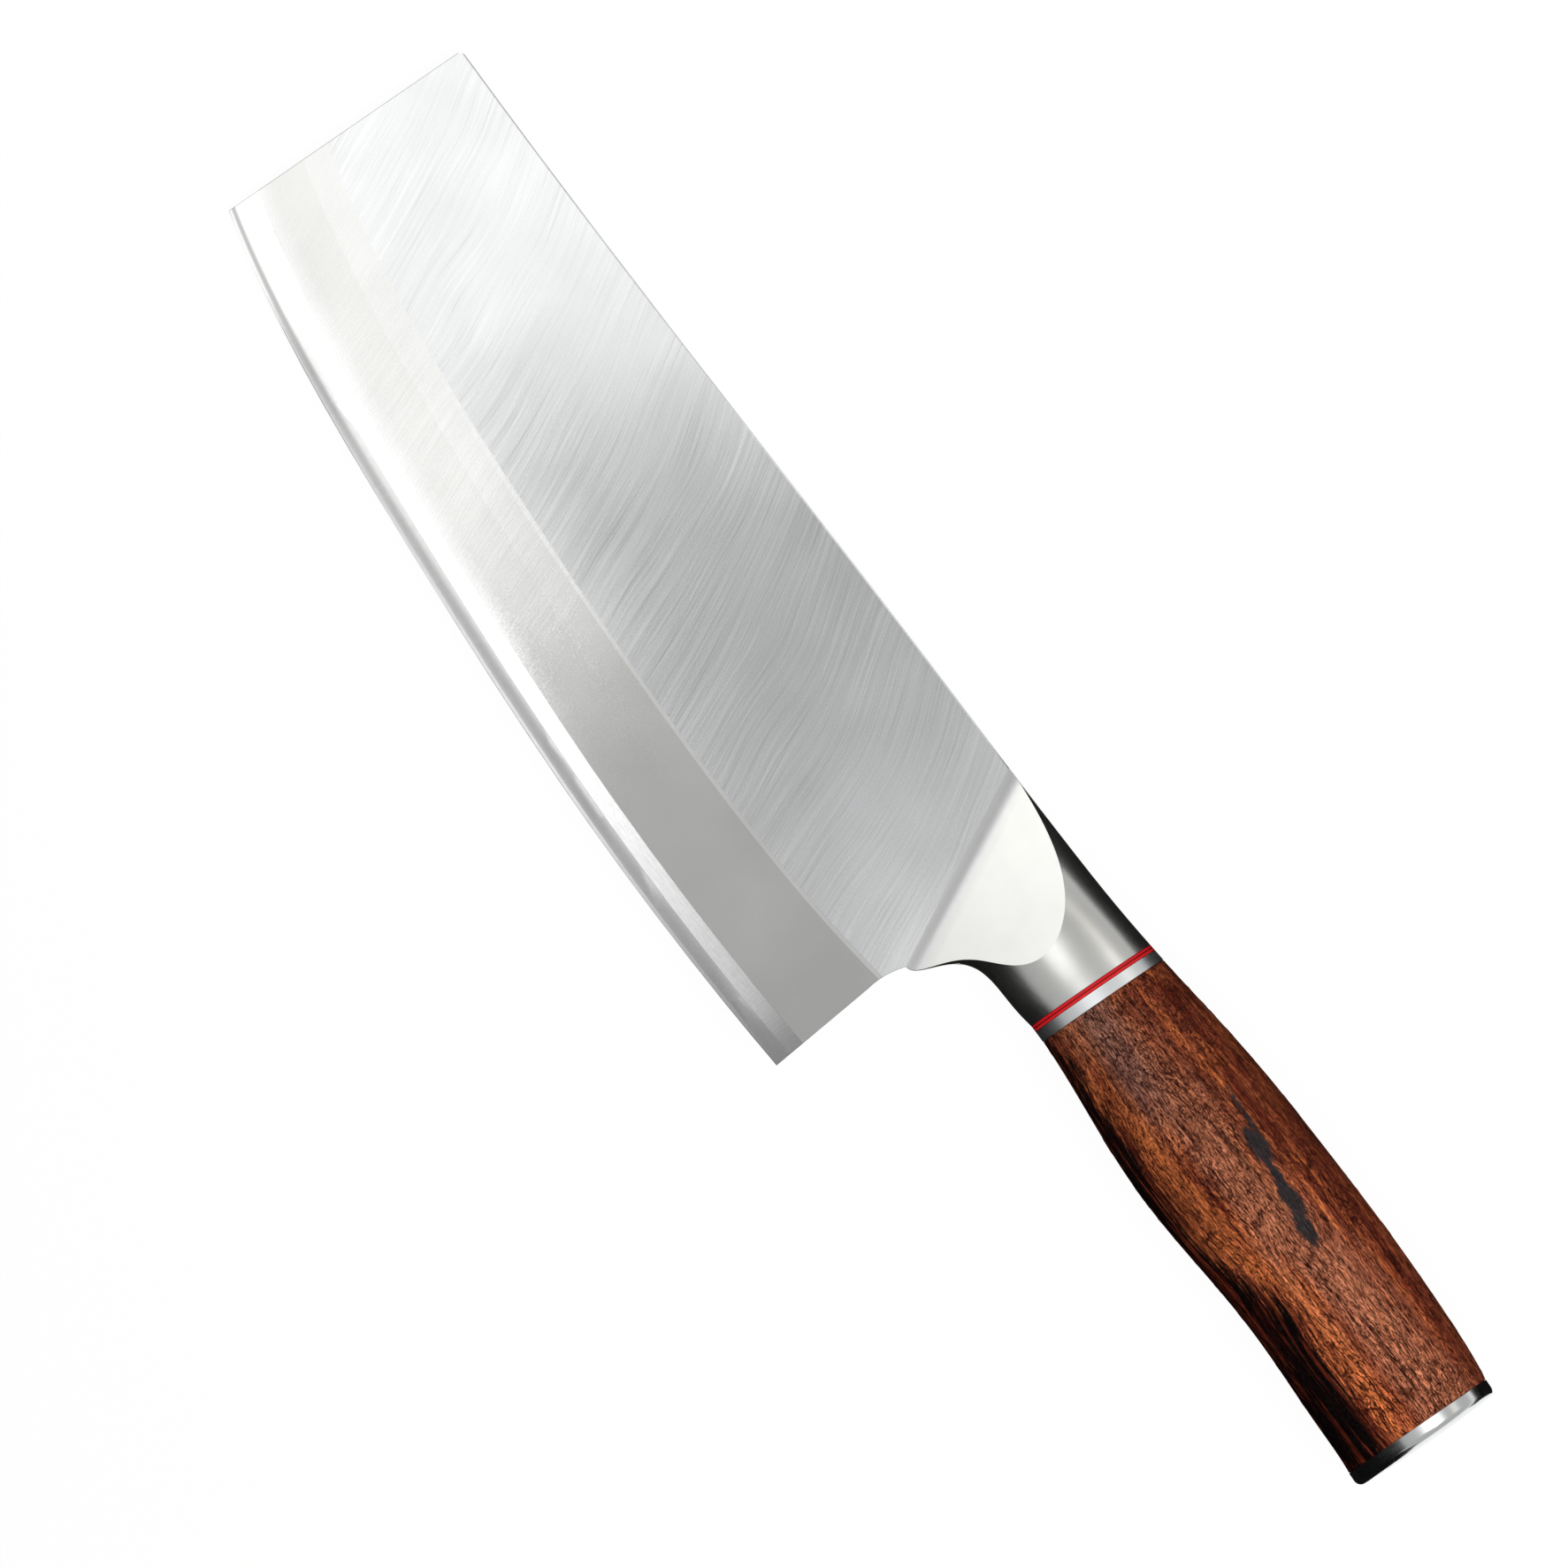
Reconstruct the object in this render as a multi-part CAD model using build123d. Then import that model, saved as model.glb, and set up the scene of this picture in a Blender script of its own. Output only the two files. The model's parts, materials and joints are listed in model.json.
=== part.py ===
import os
from math import atan, cos, degrees, radians, sin

from build123d import *

# Chinese cleaver, modelled with the tip at x = 0, the grip towards +X, the spine towards +Y
# and the blade's middle plane at z = 0. The last step lays it on its right side.

# Blade outline
edge_length = 192.3
belly_depth = 9.6
tip_height = 53.5
spine_rise = 11.5
tip_corner_radius = 1.2
heel_lift = 3.4
choil_start_height = 22.5
choil_lean = 2.2

# Points of the edge, as shares of the edge length and of the belly depth
edge_shares = ((0, 0), (0.087, 0.34), (0.35, 0.82), (0.7, 1))
# Points of the spine, as shares of the length to the ferrule and of the spine rise
spine_shares = ((0, 0), (0.33, 0.27), (0.65, 0.61), (0.88, 0.81), (0.94, 0.885), (1, 1))
# Points of the choil, as shares of the way from its start to the foot of the ferrule
choil_shares = ((0, 0), (0.026, 0.383), (0.24, 0.76), (0.4, 0.895), (0.67, 0.955), (1, 1))

# Blade thickness and grinds
core_thickness = 0.7
tip_thickness = 1.8
heel_thickness = 2.05
spine_thickness = 2.35
grind_height = 23.8
grind_thickness = 1.92
lamination_height = 6.5
edge_roll_height = 3.3
edge_roll_angle = 3
micro_bevel_height = 0.7
spine_chamfer = 0.3

# Bolster
neck_length = 21.2
ferrule_height = 27.3
ferrule_width = 21.4
ridge_step = 0.25
scoop_radius = 9.2
side_angle = 24.3
# Neck sections from the ridge to the ferrule: place on the choil, place on the spine, width
neck_shares = ((0.225, 0.8, 1.35), (0.48, 0.87, 1.2), (0.7, 0.93, 1.04), (0.86, 0.967, 0.985))

# Joint of blade and bolster, where a thinner tenon of the blade sits in the bolster's slot
tenon_thickness = 1.6
shoulder_inset = 9
tab_height = 14
tab_end_gap = 9

# Rings
red_ring_length = 0.7
steel_ring_length = 2.3

# Grip
grip_length = 100
grip_height = 33.3
grip_width = 28
grip_rise = 4.4
# Grip sections: place along the handle, height, width, lift of the centre
grip_shares = (
    (0.087, 0.854, 0.805, 0.14),
    (0.22, 0.94, 0.9, 0.27),
    (0.38, 1, 1, 0.42),
    (0.58, 0.979, 0.985, 0.78),
    (0.78, 0.966, 0.95, 0.96),
    (0.93, 0.958, 0.935, 0.93),
    (1, 0.943, 0.925, 0.83),
)

# End cap
cap_thickness = 3.6
cap_rim_radius = 1.5
cap_dome_height = 0.5
cap_spigot_diameter = 12.4
cap_spigot_length = 3

# Tang and its fastening
tang_diameter = 8
tang_seat_depth = 6
tang_lift = 1.65
thread_diameter = 6
thread_length = 16
thread_end_length = 1
nut_width = 10
nut_thickness = 5
washer_diameter = 12
washer_thickness = 1.2
counterbore_diameter = 12.8
counterbore_depth = 12
bore_clearance = 0.15
thread_clearance = 0.05

# How far a cutting tool runs past what it cuts
overrun = 20
# How often the tilt of the knife on the table is corrected
settling_rounds = 5

# Places that follow from the sizes
heel_height = heel_lift - belly_depth
choil_start = Vector(edge_length - choil_lean, heel_height + choil_start_height)
ferrule_place = edge_length + neck_length
ferrule_foot = Vector(ferrule_place, tip_height + spine_rise - ferrule_height)
red_rear_place = ferrule_place + red_ring_length
steel_ring_place = red_rear_place + red_ring_length
grip_place = steel_ring_place + steel_ring_length
cap_place = grip_place + grip_length
cap_end = cap_place + cap_thickness
handle_length = cap_place - ferrule_place
ferrule_centre = ferrule_foot.Y + ferrule_height / 2
tang_height = ferrule_centre + tang_lift
washer_place = cap_place - counterbore_depth
nut_place = washer_place + washer_thickness
tang_end = nut_place + nut_thickness + thread_end_length
tang_start = ferrule_place - tang_seat_depth
blade_reach = grind_height + tip_height + overrun
half_reach = cap_end + overrun


def edge_line():
    points = [(along * edge_length, -drop * belly_depth) for along, drop in edge_shares]
    return Spline(*points, (edge_length, heel_height))


def spine_line():
    points = [(along * ferrule_place, tip_height + rise * spine_rise) for along, rise in spine_shares]
    return Spline(*points)


def choil_line():
    way = ferrule_foot - choil_start
    points = [(choil_start.X + along * way.X, choil_start.Y + up * way.Y) for along, up in choil_shares]
    return Spline(*points)


def ridge_ends():
    low, high, width = neck_shares[0]
    return choil_line() @ low, spine_line() @ high


def behind_ridge():
    foot, head = ridge_ends()
    rise = (head - foot).normalized()
    return Vector(rise.Y, -rise.X)


def side_face():
    """The blade seen from the side, with a sharp tip corner and its lower border below the edge."""
    spine = spine_line()
    choil = choil_line()
    heel = Vector(edge_length, heel_height)
    below = heel + (heel - choil_start).normalized() * overrun
    border = [
        Line((0, below.Y), (0, tip_height)),
        spine,
        Line(spine @ 1, choil @ 1),
        choil,
        Line(choil @ 0, below),
        Line(below, (0, below.Y)),
    ]
    return make_face(Wire(border))


def in_front_of(inset):
    """Everything in front of a line that lies behind the ridge by the given inset."""
    foot, head = ridge_ends()
    away = behind_ridge()
    middle = (foot + head) / 2 + away * inset
    plane = Plane(origin=middle, x_dir=away, z_dir=(0, 0, 1))
    return plane * Rectangle(half_reach, half_reach, align=(Align.MAX, Align.CENTER))


def tab_face():
    front = edge_length - shoulder_inset
    back = ferrule_place - tab_end_gap
    low = ferrule_centre - tab_height / 2
    return Pos(front, low) * Rectangle(back - front, tab_height, align=(Align.MIN, Align.MIN))


def flat_side(side):
    """Plane of the blade's flat on one side, which tapers to the tip and to the edge."""
    tip = Vector(0, grind_height, side * tip_thickness / 2)
    heel = Vector(edge_length, grind_height + heel_height, side * heel_thickness / 2)
    spine = Vector(edge_length, tip_height + spine_rise, side * spine_thickness / 2)
    normal = (heel - tip).cross(spine - tip) * side
    return Plane(origin=heel, x_dir=heel - tip, z_dir=normal)


def between_flats(face):
    """A plate of the given outline, as thick as the blade."""
    plate = extrude(face, overrun, both=True)
    waste = Rectangle(2 * half_reach, 2 * half_reach)
    for side in (1, -1):
        plate -= extrude(flat_side(side) * waste, 2 * overrun)
    return plate


def grind_wedge():
    """The wedge that the grinds of both sides leave, swept along the edge.

    Each side is a flat bevel that rolls over towards the edge and ends in a fine bevel.
    """
    slope = (grind_thickness - core_thickness) / 2 / (grind_height - lamination_height)
    lean = atan(slope)
    rolled_lean = lean + radians(edge_roll_angle)
    roll_radius = (edge_roll_height - micro_bevel_height) / (sin(rolled_lean) - sin(lean))
    roll_half = core_thickness / 2 - slope * (lamination_height - edge_roll_height)
    micro_half = roll_half - roll_radius * (cos(lean) - cos(rolled_lean))
    reach_half = roll_half + slope * (blade_reach - edge_roll_height)
    fine_bevel = Line((0, 0), (micro_bevel_height, micro_half))
    roll = RadiusArc(fine_bevel @ 1, (edge_roll_height, roll_half), roll_radius)
    bevel = Line(roll @ 1, (blade_reach, reach_half))
    one_side = Wire([fine_bevel, roll, bevel])
    other_side = mirror(one_side, Plane.XZ)
    back = Line(bevel @ 1, (blade_reach, -reach_half))
    section = make_face(Wire([*one_side.edges(), *other_side.edges(), back]))
    edge = edge_line()
    start = edge @ 0 - (edge % 0) * overrun
    end = edge @ 1 + (edge % 1) * overrun
    path = Wire([Line(start, edge @ 0), edge, Line(edge @ 1, end)])
    along = edge % 0
    plane = Plane(origin=start, x_dir=(-along.Y, along.X, 0), z_dir=along)
    return sweep(plane * section, path)


def tenon_plate(face):
    return extrude(face, tenon_thickness / 2, both=True)


def front_plate():
    """The full thickness of the blade in front of the ridge, with its spine corners broken."""
    plate = between_flats(side_face() & in_front_of(0))
    middle = spine_line() @ (neck_shares[0][1] / 2)
    corners = []
    for side in (1, -1):
        corner = Vector(middle.X, middle.Y, side * spine_thickness / 2)
        corners += plate.edges().sort_by_distance(corner)[:1]
    return chamfer(corners, spine_chamfer)


def whole_blade():
    behind = (side_face() & in_front_of(shoulder_inset)) + tab_face() - in_front_of(0)
    return (front_plate() + tenon_plate(behind)) & grind_wedge()


def tip_rounded(layer):
    side = side_face()
    corner = side.vertices().sort_by_distance((0, tip_height))[0]
    return layer & extrude(fillet(corner, tip_corner_radius), overrun, both=True)


def core_layer(blade):
    return tip_rounded(blade & Box(2 * half_reach, 2 * half_reach, core_thickness))


def side_layer(blade, side):
    above_core = Plane(origin=(0, 0, side * core_thickness / 2), z_dir=(0, 0, side))
    return tip_rounded(blade & extrude(above_core * Rectangle(2 * half_reach, 2 * half_reach), overrun))


def handle_section(low, high, width):
    """An oval across the handle between two points of its outline."""
    up = high - low
    plane = Plane(origin=(low + high) / 2, x_dir=up, z_dir=(up.Y, -up.X, 0))
    return plane * Ellipse(up.length / 2, width / 2)


def neck_sections():
    choil = choil_line()
    spine = spine_line()
    sections = [handle_section(ferrule_foot, spine @ 1, ferrule_width)]
    for low, high, width in reversed(neck_shares):
        sections.insert(0, handle_section(choil @ low, spine @ high, width * ferrule_width))
    return sections


def grip_section(along, height, width, lift):
    centre = Vector(ferrule_place + along * handle_length, ferrule_centre + lift * grip_rise)
    half = Vector(0, height * grip_height / 2)
    return handle_section(centre - half, centre + half, width * grip_width)


def neck_form():
    """The bolster's outer form before it is ground, run on into the grip to meet it smoothly."""
    return loft(neck_sections() + [grip_section(*grip_shares[0])])


def grip_form():
    """The outer form of rings and grip, begun in the bolster to meet it smoothly."""
    return loft(neck_sections()[-2:] + [grip_section(*shares) for shares in grip_shares])


def between(start, end):
    """Everything between two planes across the handle."""
    return extrude(Plane.YZ.offset(start) * Rectangle(half_reach, half_reach), end - start)


def tang_bore(start, end, diameter):
    return Pos(start, tang_height, 0) * Rot(0, 90, 0) * Cylinder(
        diameter / 2, end - start, align=(Align.CENTER, Align.CENTER, Align.MIN)
    )


def side_scoop(side):
    """What is ground off one side of the bolster: a flat that runs out in a hollow at the ridge."""
    foot, head = ridge_ends()
    away = behind_ridge()
    angle = radians(side_angle)
    base = heel_thickness / 2 + ridge_step
    hollow_end = (scoop_radius * sin(angle), base + scoop_radius * (1 - cos(angle)))
    run = overrun * 2
    flat_end = (hollow_end[0] + run * cos(angle), hollow_end[1] + run * sin(angle))
    profile = Wire([
        Line((-overrun, base), (0, base)),
        RadiusArc((0, base), hollow_end, -scoop_radius),
        Line(hollow_end, flat_end),
        Line(flat_end, (flat_end[0], flat_end[1] + overrun)),
        Line((flat_end[0], flat_end[1] + overrun), (-overrun, flat_end[1] + overrun)),
        Line((-overrun, flat_end[1] + overrun), (-overrun, base)),
    ])
    middle = (foot + head) / 2
    plane = Plane(origin=middle, x_dir=away, z_dir=(head - foot) * -1)
    scoop = extrude(plane * make_face(profile), half_reach / 2, both=True)
    return scoop if side > 0 else mirror(scoop, Plane.XY)


def bolster_piece(form):
    slot = tenon_plate(in_front_of(shoulder_inset) + tab_face())
    piece = form & between(0, ferrule_place)
    piece = piece - side_scoop(1) - side_scoop(-1) - slot
    return piece - tang_bore(tang_start, ferrule_place + overrun, tang_diameter + 2 * bore_clearance)


def ring_piece(form, start, length):
    ring = form & between(start, start + length)
    return ring - tang_bore(start - overrun, start + overrun, tang_diameter + 2 * bore_clearance)


def grip_piece(form):
    piece = form & between(grip_place, cap_place)
    piece -= tang_bore(grip_place - overrun, cap_place + overrun, tang_diameter + 2 * bore_clearance)
    return piece - tang_bore(washer_place, cap_place + overrun, counterbore_diameter)


def cap_piece():
    along, height, width, lift = grip_shares[-1]
    cap = extrude(grip_section(along, height, width, lift), cap_thickness)
    reach = height * grip_height / 2
    dome_radius = (reach ** 2 + cap_dome_height ** 2) / 2 / cap_dome_height
    cap &= Pos(cap_end - dome_radius, ferrule_centre + lift * grip_rise, 0) * Sphere(dome_radius)
    cap = fillet(cap.edges().sort_by(Axis.X)[-1], cap_rim_radius)
    return cap + tang_bore(cap_place - cap_spigot_length, cap_place, cap_spigot_diameter)


def tang_piece():
    thread_start = tang_end - thread_length
    shank = tang_bore(tang_start, thread_start, tang_diameter)
    return shank + tang_bore(thread_start, tang_end, thread_diameter)


def washer_piece():
    washer = tang_bore(washer_place, nut_place, washer_diameter)
    return washer - tang_bore(tang_start, tang_end, thread_diameter + 2 * bore_clearance)


def nut_piece():
    hexagon = RegularPolygon(nut_width / 2, 6, major_radius=False)
    nut = Pos(nut_place, tang_height, 0) * Rot(0, 90, 0) * extrude(hexagon, nut_thickness)
    return nut - tang_bore(tang_start, tang_end, thread_diameter + 2 * thread_clearance)


def build_pieces():
    blade = whole_blade()
    form = grip_form()
    return {
        "core_steel": core_layer(blade),
        "cladding_left": side_layer(blade, 1),
        "cladding_right": side_layer(blade, -1),
        "bolster": bolster_piece(neck_form()),
        "spacer_red_front": ring_piece(form, ferrule_place, red_ring_length),
        "spacer_red_rear": ring_piece(form, red_rear_place, red_ring_length),
        "spacer_steel": ring_piece(form, steel_ring_place, steel_ring_length),
        "grip": grip_piece(form),
        "end_cap": cap_piece(),
        "tang": tang_piece(),
        "tang_washer": washer_piece(),
        "tang_nut": nut_piece(),
    }


def lowest(pieces, names):
    return min(pieces[name].bounding_box().min.Z for name in names)


def lay_down(pieces):
    """Tilts the knife until tip and grip both touch the table, and centres it over the origin."""
    pitch = 0
    for _ in range(settling_rounds):
        turned = {name: Rot(0, -degrees(pitch), 0) * piece for name, piece in pieces.items()}
        drop = lowest(turned, ("core_steel", "cladding_right")) - lowest(turned, ("bolster", "grip"))
        pitch += drop / ferrule_place
    box, *others = [piece.bounding_box() for piece in turned.values()]
    for other in others:
        box = box.add(other)
    middle = box.center()
    return {name: Pos(-middle.X, -middle.Y, -box.min.Z) * piece for name, piece in turned.items()}


pieces = lay_down(build_pieces())
os.makedirs("parts", exist_ok=True)
for name, piece in pieces.items():
    export_step(piece, f"parts/{name}.step")
    print(name, round(piece.volume, 1), "mm3 in", len(piece.solids()), "solid")
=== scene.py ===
import json
from math import cos, pi, radians, sin

import bpy
import numpy as np
from mathutils import Matrix, Vector
from mathutils.bvhtree import BVHTree


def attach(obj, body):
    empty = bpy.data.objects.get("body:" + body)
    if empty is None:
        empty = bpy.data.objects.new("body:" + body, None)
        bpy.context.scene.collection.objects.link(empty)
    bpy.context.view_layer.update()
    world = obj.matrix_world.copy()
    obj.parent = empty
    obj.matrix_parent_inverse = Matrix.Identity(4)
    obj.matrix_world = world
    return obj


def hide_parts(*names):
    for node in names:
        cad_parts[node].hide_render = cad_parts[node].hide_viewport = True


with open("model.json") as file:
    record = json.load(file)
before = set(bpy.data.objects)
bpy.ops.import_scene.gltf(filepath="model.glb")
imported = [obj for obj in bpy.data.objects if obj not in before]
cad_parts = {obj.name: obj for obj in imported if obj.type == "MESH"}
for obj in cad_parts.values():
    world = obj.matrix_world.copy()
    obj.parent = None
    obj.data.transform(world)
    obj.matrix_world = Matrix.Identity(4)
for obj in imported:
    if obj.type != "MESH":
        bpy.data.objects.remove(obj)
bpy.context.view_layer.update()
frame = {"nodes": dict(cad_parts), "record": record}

mm = 0.001


# The knife's own axes: x from the tip along the blade, y towards the spine, z out of the left side

def corners(nodeName):
    return [vertex.co for vertex in frame["nodes"][nodeName].data.vertices]


def findKnife():
    faces = {mount["name"]: Vector(mount["axis"]) for mount in frame["record"]["mounts"]}
    out = (faces["left_flat"] - faces["right_flat"]).normalized()
    along = Vector((0, 1, 0)).cross(out).normalized()
    up = out.cross(along)
    core = corners("core_steel")
    front = min(point.dot(along) for point in core)
    tipLine = [point for point in core if point.dot(along) < front + 0.01 * mm]
    tipCorner = min(tipLine, key=lambda point: point.dot(up))
    return Matrix.Translation(tipCorner) @ Matrix((along, up, out)).transposed().to_4x4()


knife = findKnife()
toKnife = knife.inverted()


def knifePoints(nodeName):  # a node's corners in the knife's axes, in mm
    return np.array([toKnife @ point for point in corners(nodeName)]) / mm


print("frame loaded, knife axes found")


# Node trees: a socket that takes part in sums, and one method for every other node

class Wire:
    def __init__(self, bench, socket):
        self.bench = bench
        self.socket = socket

    def math(self, operation, first, second):
        return self.bench.node("ShaderNodeMath", {"operation": operation}, {0: first, 1: second})

    def __add__(self, other):
        return self.math("ADD", self, other)

    def __radd__(self, other):
        return self.math("ADD", other, self)

    def __sub__(self, other):
        return self.math("SUBTRACT", self, other)

    def __rsub__(self, other):
        return self.math("SUBTRACT", other, self)

    def __mul__(self, other):
        return self.math("MULTIPLY", self, other)

    def __rmul__(self, other):
        return self.math("MULTIPLY", other, self)

    def __truediv__(self, other):
        return self.math("DIVIDE", self, other)

    def __pow__(self, other):
        return self.math("POWER", self, other)

    def __abs__(self):
        return self.math("ABSOLUTE", self, 0)


class Bench:
    def __init__(self, tree):
        self.tree = tree

    def node(self, kind, settings={}, sockets={}, out=0):
        made = self.tree.nodes.new(kind)
        for key, value in settings.items():
            if key == "stops":
                self.setStops(made.color_ramp.elements, value)
            else:
                setattr(made, key, value)
        for key, value in sockets.items():
            self.feed(made.inputs[key], value)
        return Wire(self, made.outputs[out]) if made.outputs else None

    def setStops(self, elements, stops):
        while len(elements) < len(stops):
            elements.new(1)
        for element, (place, colour) in zip(elements, stops):
            element.position = place
            element.color = (*colour, 1)

    def feed(self, socket, value):
        if isinstance(value, Wire):
            self.tree.links.new(value.socket, socket)
        else:
            socket.default_value = value

    def step(self, value, low, high):  # 0 at low, 1 at high, smooth between
        return self.node(
            "ShaderNodeMapRange",
            {"interpolation_type": "SMOOTHSTEP"},
            {"Value": value, "From Min": low, "From Max": high},
        )

    def vector(self, x, y, z=0):
        return self.node("ShaderNodeCombineXYZ", {}, {"X": x, "Y": y, "Z": z})

    def noise(self, vector, scale=1, detail=2, roughness=0.5):
        sockets = {"Vector": vector, "Scale": scale, "Detail": detail, "Roughness": roughness}
        return self.node("ShaderNodeTexNoise", {}, sockets)

    def mix(self, amount, first, second, way="MIX"):
        made = self.tree.nodes.new("ShaderNodeMix")
        made.data_type = "RGBA"
        made.blend_type = way
        for index, value in ((0, amount), (6, first), (7, second)):
            self.feed(made.inputs[index], value)
        return Wire(self, made.outputs[2])


class Finish(Bench):  # one material of the knife
    def __init__(self, name, **constants):
        self.material = bpy.data.materials.new(name)
        self.material.use_nodes = True
        super().__init__(self.material.node_tree)
        self.shader = self.tree.nodes["Principled BSDF"]
        for key, value in constants.items():
            self.shader.inputs[spoken(key)].default_value = value

    def set(self, **links):
        for key, value in links.items():
            self.feed(self.shader.inputs[spoken(key)], value)

    def given(self, key):  # what feeds a socket so far
        return Wire(self, self.shader.inputs[spoken(key)].links[0].from_socket)

    def place(self):  # the knife's x, y and z in mm
        point = self.node("ShaderNodeTexCoord", out="Object")
        sockets = {
            "Vector": point,
            "Location": toKnife.translation / mm,
            "Rotation": toKnife.to_euler(),
            "Scale": Vector((1, 1, 1)) / mm,
        }
        return self.split(self.node("ShaderNodeMapping", {}, sockets))

    def split(self, vector):
        made = self.tree.nodes.new("ShaderNodeSeparateXYZ")
        self.feed(made.inputs[0], vector)
        return [Wire(self, socket) for socket in made.outputs]

    def relief(self, height, depth):  # bumps from a height of 0 to 1, depth in mm
        sockets = {"Height": height, "Distance": depth * mm, "Strength": 1}
        return self.node("ShaderNodeBump", {}, sockets)


def spoken(key):  # baseColor to Base Color
    words = "".join(" " + letter if letter.isupper() else letter for letter in key)
    return words[0].upper() + words[1:].replace("I O R", "IOR")


def grey(level, tint=(1, 1, 1)):
    return (*(level * part for part in tint), 1)


def polynomial(x, factors):
    total = factors[0]
    for factor in factors[1:]:
        total = total * x + factor
    return total


def wear(nodeName, finish):  # gives a CAD node its finish
    slots = frame["nodes"][nodeName].material_slots
    for slot in slots:
        slot.material = finish.material


# Blade

blade = {
    "fitReach": 100,             # mm, divides x in the fitted lines
    "flatSteel": (0.785, 0.79, 0.797),
    "bevelSteel": (0.80, 0.797, 0.785),
    "upperBand": (0.835, 0.835, 0.825),
    # colour of the painted shade on the bevel towards the heel
    "heelShade": (0.60, 0.597, 0.585),
    "rim": 0.14,                 # mm, width of the painted shade line along the tip and the spine
    "rollPlace": (0.9, 0.009),   # mm above the edge of the painted shade band on the rounding: at the tip, and its growth
    "brushStart": 18,            # mm, height at which the brush strokes are measured
    "brushLean": (0.404, 0.00117, 0.0000527),   # lean of the strokes: by height, its square, its cube
    "strokeFine": (3.0, 0.025),  # strokes per mm across and along
    "strokeCoarse": (1.0, 0.025),
}


def fitLines():
    core = knifePoints("core_steel")
    onEdge = core[(abs(core[:, 2]) < 0.02) & (core[:, 1] < 2)]
    edgeLine = np.polyfit(onEdge[:, 0] / blade["fitReach"], onEdge[:, 1], 5)
    side = knifePoints("cladding_left")
    mount = next(mount for mount in frame["record"]["mounts"] if mount["name"] == "left_flat")
    offPlane = (np.array(corners("cladding_left")) - mount["pos_m"]) @ np.array(mount["axis"])
    low = (abs(offPlane) < 0.002 * mm) & (side[:, 1] < 27) & (side[:, 0] < 189)
    grindLine = np.polyfit(side[low, 0] / blade["fitReach"], side[low, 1], 4)
    top = (side[:, 2] < 0.4) & (side[:, 1] > 53.4) & (side[:, 0] < 182)
    spineLine = np.polyfit(side[top, 0] / blade["fitReach"], side[top, 1], 3)
    print("edge fitted on", len(onEdge), "points, grind line on", low.sum(), "and spine on", top.sum())
    return [[float(factor) for factor in line] for line in (edgeLine, grindLine, spineLine)]


edgeLine, grindLine, spineLine = fitLines()


def brushStrokes(finish, x, y):
    t = y - blade["brushStart"]
    lean, bend, twist = blade["brushLean"]
    across = x + t * (lean + t * (bend + t * twist))
    drift = finish.noise(finish.vector(x, y), 0.03, 1)
    across = across + drift * 6
    perAcross, perAlong = blade["strokeFine"]
    fine = finish.noise(finish.vector(across * perAcross, y * perAlong), 1, 3, 0.6)
    crossing = across + t * 0.09
    second = finish.noise(finish.vector(crossing * perAcross * 0.6, y * perAlong, 40), 1, 2)
    perAcross, perAlong = blade["strokeCoarse"]
    coarse = finish.noise(finish.vector(across * perAcross, y * perAlong, 80), 1, 2)
    return fine, second, coarse


def claddingFinish():
    finish = Finish("brushedCladding", metallic=1.0)
    x, y, z = finish.place()
    run = x / blade["fitReach"]
    overEdge = y - polynomial(run, edgeLine)
    overGrind = y - polynomial(run, grindLine)
    onFlat = finish.step(overGrind, -0.06, 0.06)
    fine, second, coarse = brushStrokes(finish, x, y)
    strokes = fine * 0.5 + second * 0.3 + coarse * 0.25 - 0.525
    darkLines = finish.step(fine + second * 0.4, 0.56, 0.44)
    grain = finish.noise(finish.vector(x, y, z), 3.5, 3, 0.7)
    cloud = finish.noise(finish.vector(x, y, z), 0.05, 2)
    flat = finish.mix(darkLines * 0.22, grey(1, blade["flatSteel"]), grey(0.62, blade["flatSteel"]))
    upper = finish.step(overEdge, 16.8, 17.15) * finish.step(x, 140, 105)
    bevelTone = finish.mix(upper, grey(1, blade["bevelSteel"]), grey(1, blade["upperBand"]))
    # painted shade: the bevel darker towards the heel and darker still near the bolster; the heel is also
    # rougher
    heel = finish.step(x + (grain - 0.5) * 60, 88, 138)
    bevelTone = finish.mix(heel, bevelTone, grey(1, blade["heelShade"]))
    bevelTone = finish.mix(finish.step(x, 160, 192) * 0.4, bevelTone, grey(0.4))
    # painted highlight: the bevel brighter beside the core line, where it is also smoother
    besideCore = finish.step(overEdge, 10.5, 4.6) * finish.step(x, 138, 88)
    bevelTone = finish.mix(besideCore * 0.9, bevelTone, grey(0.97))
    rubbed = finish.step(abs(x - 98), 34, 8)
    bevel = finish.mix(grain * (0.3 + rubbed * 0.4), bevelTone, grey(0.5))
    glint = finish.step(abs(overGrind + 0.45), 0.5, 0.25) * finish.step(x, 40, 100)
    bevel = finish.mix(glint * 0.4, bevel, grey(0.95))
    steel = finish.mix(onFlat, bevel, flat)
    overSpine = y - polynomial(run, spineLine)
    # painted shade: a dark line along the tip, and along the spine near the tip
    rim = finish.step(overSpine, -blade["rim"], -0.04) * finish.step(x, 105, 80)
    rim = rim.math("MAXIMUM", rim, finish.step(x, blade["rim"], 0.04))
    steel = finish.mix(rim * 0.75, steel, grey(0.12))
    bright = 0.83 + strokes * 0.62 * onFlat + cloud * 0.25
    tinted = finish.node(
        "ShaderNodeVectorMath", {"operation": "SCALE"}, {"Vector": steel, "Scale": bright}
    )
    rough = 0.27 + strokes * 0.2 + heel * (1 - onFlat) * 0.12
    rough = rough - besideCore * finish.step(x, 70, 95) * 0.09
    finish.set(baseColor=tinted, roughness=rough)
    height = (fine * 0.6 + second * 0.4) * onFlat + grain * 0.35 * (1 - onFlat)
    finish.set(normal=finish.relief(height, 0.009))
    return finish


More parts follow.
